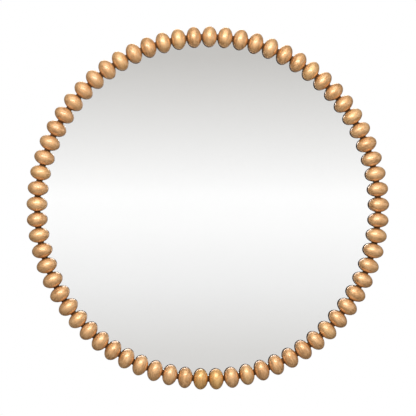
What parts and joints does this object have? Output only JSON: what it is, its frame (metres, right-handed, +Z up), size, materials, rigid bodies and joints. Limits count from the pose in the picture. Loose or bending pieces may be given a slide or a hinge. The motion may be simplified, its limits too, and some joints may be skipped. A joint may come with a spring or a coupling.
{
  "type": "round wall mirror",
  "caption": "Round wall mirror: plain silvered glass in a painted ring, bordered by gilded egg-shaped beads and hung on two swinging D-ring hangers.",
  "frame": {"origin": "the mirror's centre, on the plane of the wall that the bumpers rest on", "axes": "+X to the right as seen from the front, +Y into the wall, +Z up"},
  "size_m": [0.9138, 0.0478, 0.9135],
  "materials": {
    "gold_leaf": "turned wood, gilded with gold leaf in front and painted dark brown behind its widest line",
    "frame_paint": "medium density fibreboard in satin dark brown paint",
    "silvered_glass": "clear float glass, silvered and painted behind, with ground edges",
    "foam_tape": "white double-sided foam tape",
    "hardboard": "smooth brown hardboard",
    "zinc_steel": "bright zinc plate",
    "bumper_rubber": "matt black rubber"
  },
  "bodies": {
    "mirror": {"frame_ring": "frame_paint", "mirror_glass": "silvered_glass", "glass_tape": "foam_tape", "back_panel": "hardboard", "panel_screws": "zinc_steel", "bead_screws": "zinc_steel", "hanger_screws": "zinc_steel", "hanger_strap_left": "zinc_steel", "hanger_strap_right": "zinc_steel", "wall_bumper_1": "bumper_rubber", "wall_bumper_2": "bumper_rubber", "wall_bumper_3": "bumper_rubber", "wall_bumper_4": "bumper_rubber", "beads_01": "gold_leaf", "beads_02": "gold_leaf", "beads_03": "gold_leaf", "beads_04": "gold_leaf", "beads_05": "gold_leaf", "beads_06": "gold_leaf", "beads_07": "gold_leaf", "beads_08": "gold_leaf", "beads_09": "gold_leaf", "beads_10": "gold_leaf", "beads_11": "gold_leaf", "beads_12": "gold_leaf", "beads_13": "gold_leaf", "beads_14": "gold_leaf", "beads_15": "gold_leaf", "beads_16": "gold_leaf", "beads_17": "gold_leaf", "beads_18": "gold_leaf", "beads_19": "gold_leaf", "beads_20": "gold_leaf", "beads_21": "gold_leaf", "beads_22": "gold_leaf", "beads_23": "gold_leaf"},
    "left_ring": {"d_ring_left": "zinc_steel"},
    "right_ring": {"d_ring_right": "zinc_steel"}
  },
  "joints": [
    {"name": "left_ring_hinge", "type": "hinge", "parent": "mirror", "child": "left_ring", "pos_m": [-0.29388, -0.00415, 0.28251], "axis": [-1, 0, 0], "range_deg": [0, 175]},
    {"name": "right_ring_hinge", "type": "hinge", "parent": "mirror", "child": "right_ring", "pos_m": [0.29388, -0.00415, 0.28251], "axis": [-1, 0, 0], "range_deg": [0, 175]}
  ]
}
